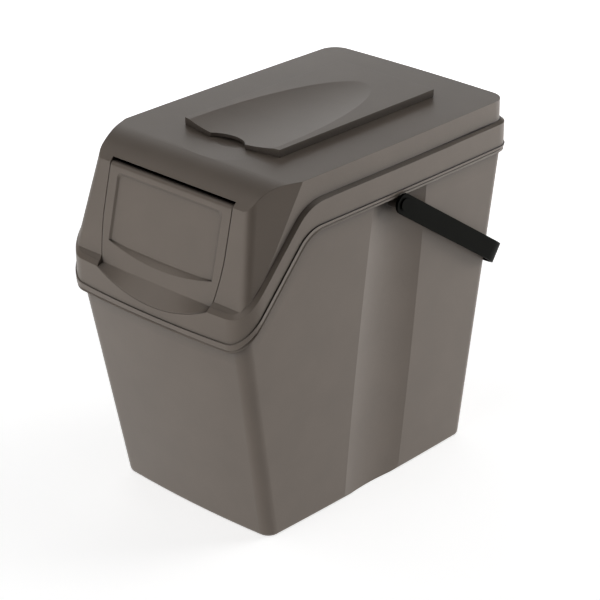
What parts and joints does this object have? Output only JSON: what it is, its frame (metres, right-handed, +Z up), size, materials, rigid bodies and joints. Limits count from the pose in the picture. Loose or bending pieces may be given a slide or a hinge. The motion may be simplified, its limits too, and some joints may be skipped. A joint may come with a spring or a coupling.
{
  "type": "recycling bin",
  "caption": "Tapered household recycling bin with a lift-off hood lid, a front throw-in flap, a raised top hatch with a finger notch, and a swinging strap handle.",
  "frame": {"origin": "on the ground, under the middle of the lid's outline", "axes": "+Z up, the front with its flap faces -Y, +X is the side that the handle's right arm hangs on"},
  "size_m": [0.2776, 0.4262, 0.4112],
  "materials": {
    "body_plastic": "warm taupe-grey injection-moulded polypropylene with a fine satin grain",
    "handle_plastic": "near-black satin moulded plastic"
  },
  "bodies": {
    "bucket_body": {"bucket": "body_plastic", "left_pivot_button": "handle_plastic", "right_pivot_button": "handle_plastic"},
    "lid_body": {"lid": "body_plastic"},
    "flap_body": {"front_flap": "body_plastic"},
    "hatch_body": {"top_hatch": "body_plastic"},
    "handle_body": {"carry_handle": "handle_plastic"}
  },
  "joints": [
    {"name": "lid_lift", "type": "slide", "parent": "bucket_body", "child": "lid_body", "axis": [0, 0, 1], "range_m": [0, 0.24]},
    {"name": "flap_hinge", "type": "hinge", "parent": "lid_body", "child": "flap_body", "pos_m": [0, -0.17378, 0.3772], "axis": [-1, 0, 0], "range_deg": [0, 90]},
    {"name": "hatch_hinge", "type": "hinge", "parent": "lid_body", "child": "hatch_body", "pos_m": [0, 0.14825, 0.4051], "axis": [-1, 0, 0], "range_deg": [0, 88]},
    {"name": "handle_swing", "type": "hinge", "parent": "bucket_body", "child": "handle_body", "pos_m": [0, 0.0238, 0.3366], "axis": [1, 0, 0], "range_deg": [0, 124]}
  ]
}
